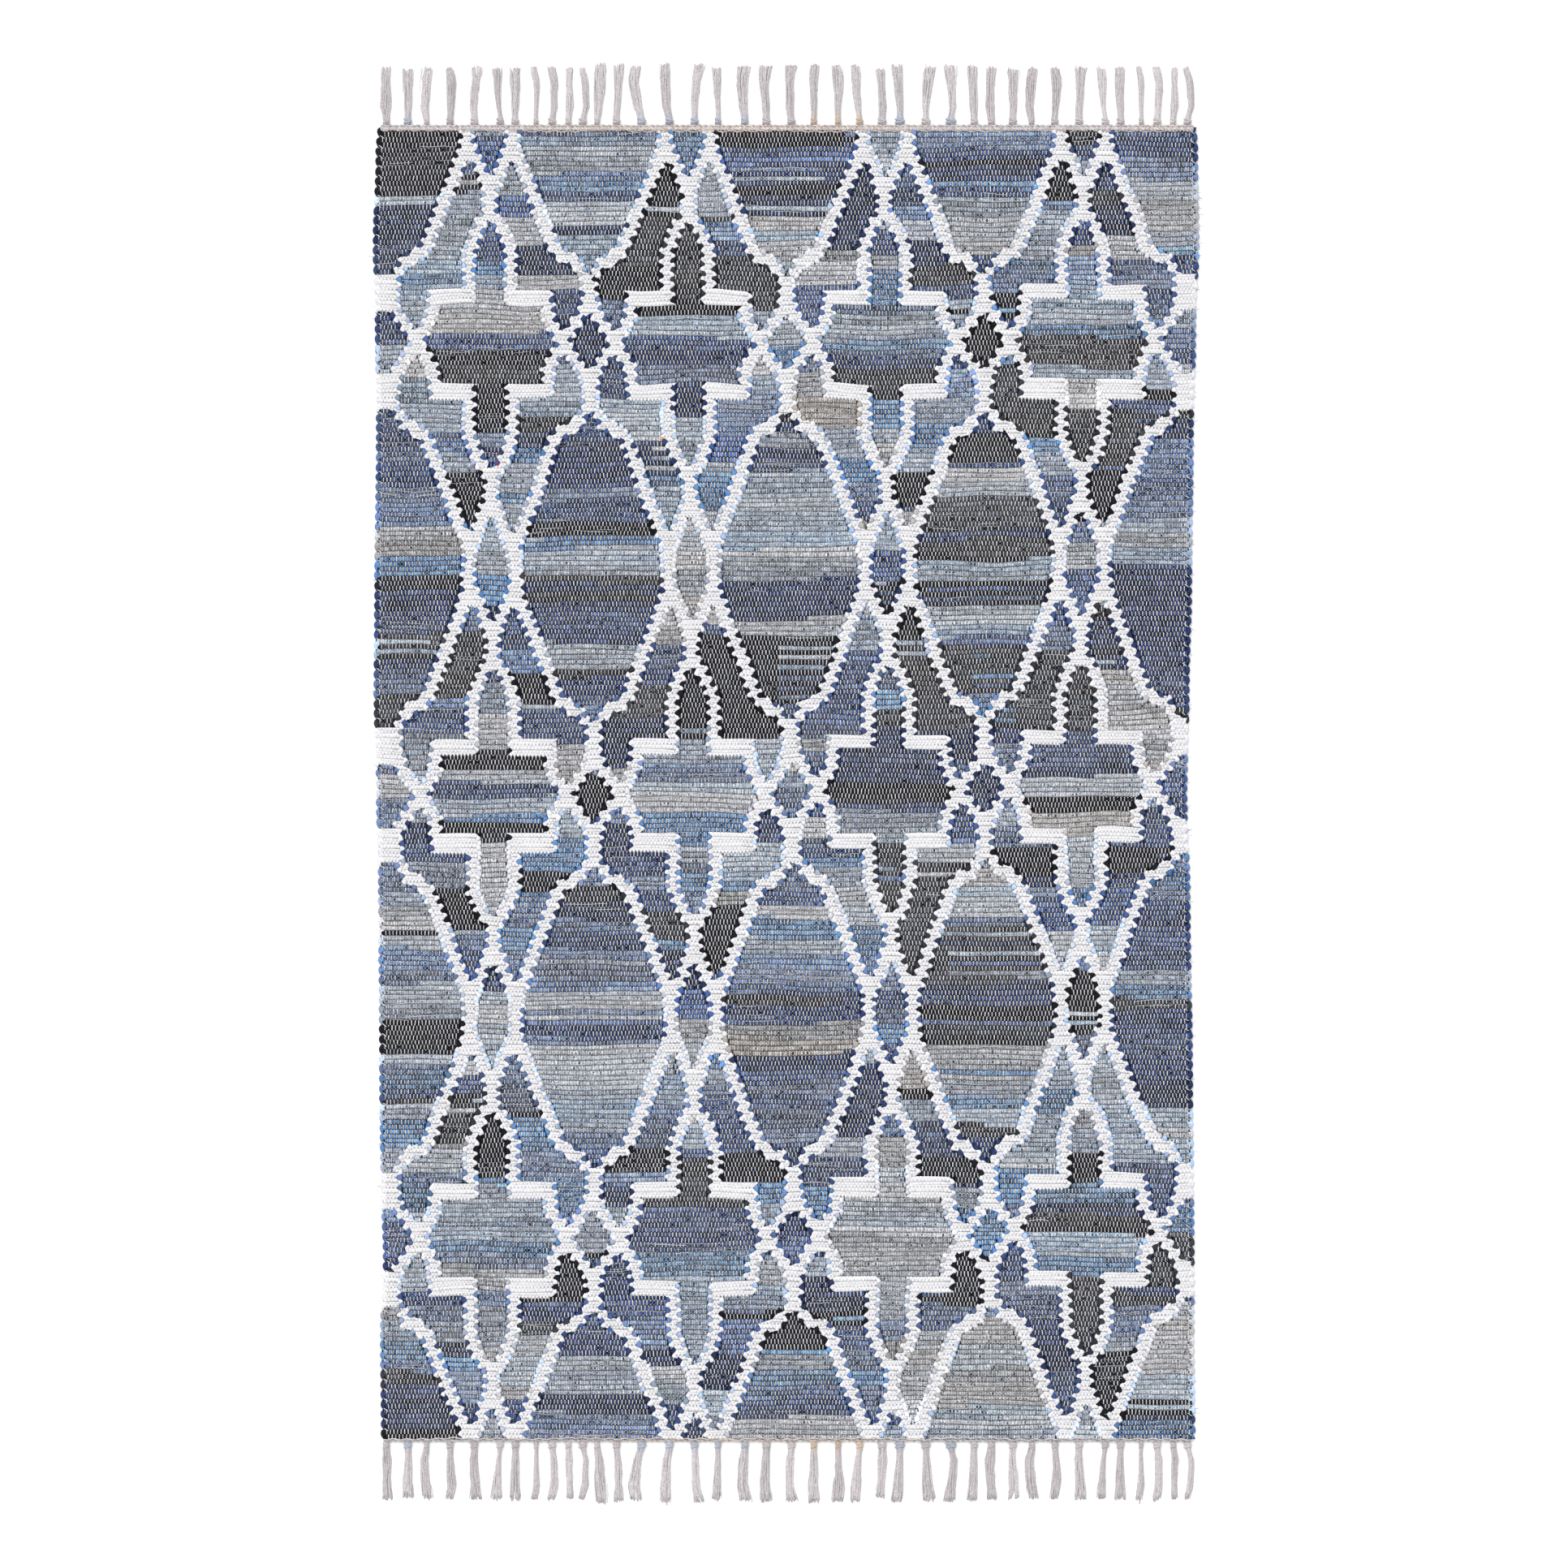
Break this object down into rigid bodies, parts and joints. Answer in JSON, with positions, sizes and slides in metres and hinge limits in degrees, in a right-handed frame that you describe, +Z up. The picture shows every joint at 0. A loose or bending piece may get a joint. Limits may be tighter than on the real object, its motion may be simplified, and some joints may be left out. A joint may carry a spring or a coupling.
{
  "type": "woven denim rag rug",
  "caption": "Flat handwoven rag rug of blue denim strips on a cotton warp, with an off-white cotton lattice and a knotted warp fringe at both short ends.",
  "frame": {"origin": "middle of the underside, on the floor", "axes": "+Y along the rug's length, +X across its width, +Z up out of its face"},
  "size_m": [0.9222, 1.6056, 0.0056],
  "materials": {
    "denim_weave": "matt woven strips of worn denim in many blues, with an off-white cotton lattice",
    "cotton_yarn": "matt undyed cotton yarn, pale grey-beige"
  },
  "bodies": {
    "root": {"woven_body": "denim_weave", "fringe_far": "cotton_yarn", "fringe_near": "cotton_yarn"}
  },
  "joints": []
}
